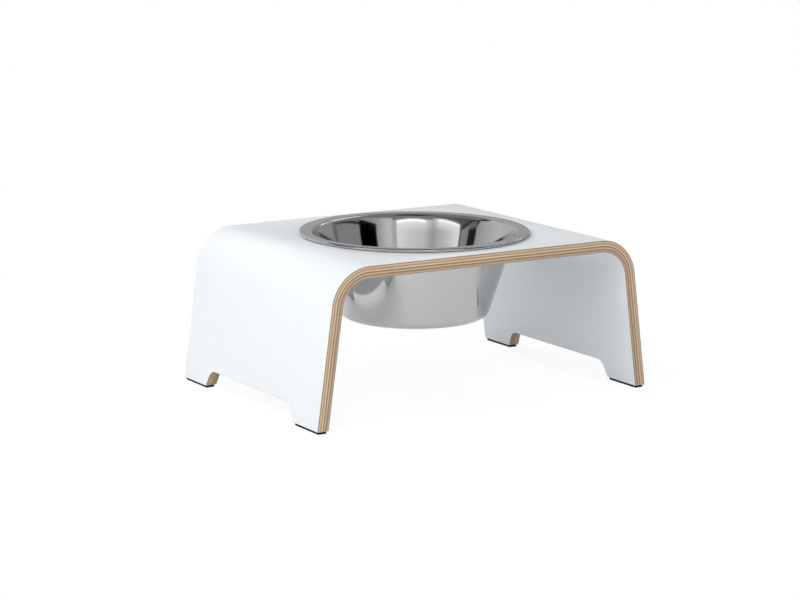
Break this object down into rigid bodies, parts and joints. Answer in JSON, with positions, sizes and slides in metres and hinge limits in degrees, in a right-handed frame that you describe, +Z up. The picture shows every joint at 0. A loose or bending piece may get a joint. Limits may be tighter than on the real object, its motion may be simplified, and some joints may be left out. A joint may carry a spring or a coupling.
{
  "type": "dog feeder stand",
  "caption": "Low moulded plywood arch with white faces, leaning legs and rubber pads; a round opening in its top holds a lift-out steel food bowl by its flange.",
  "frame": {"origin": "on the floor, under the middle of the bowl and of the arch", "axes": "+X across the arch from the left leg to the right leg, +Y from the front edge to the back edge, +Z up"},
  "size_m": [0.3, 0.212, 0.1243],
  "materials": {
    "white_laminate": "satin",
    "long_grain_beech": "clear lacquer",
    "cross_grain_beech": "clear lacquer",
    "black_rubber": "matt",
    "bowl_steel": "polished"
  },
  "bodies": {
    "stand": {"outer_laminate": "white_laminate", "long_grain_veneer_1": "long_grain_beech", "cross_grain_veneer_1": "cross_grain_beech", "long_grain_veneer_2": "long_grain_beech", "cross_grain_veneer_2": "cross_grain_beech", "long_grain_veneer_3": "long_grain_beech", "cross_grain_veneer_3": "cross_grain_beech", "long_grain_veneer_4": "long_grain_beech", "inner_laminate": "white_laminate", "front_left_pad": "black_rubber", "front_right_pad": "black_rubber", "rear_left_pad": "black_rubber", "rear_right_pad": "black_rubber"},
    "bowl": {"bowl": "bowl_steel"}
  },
  "joints": [
    {"name": "bowl_lift", "type": "slide", "parent": "stand", "child": "bowl", "axis": [0, 0, 1], "range_m": [0, 0.12]}
  ]
}
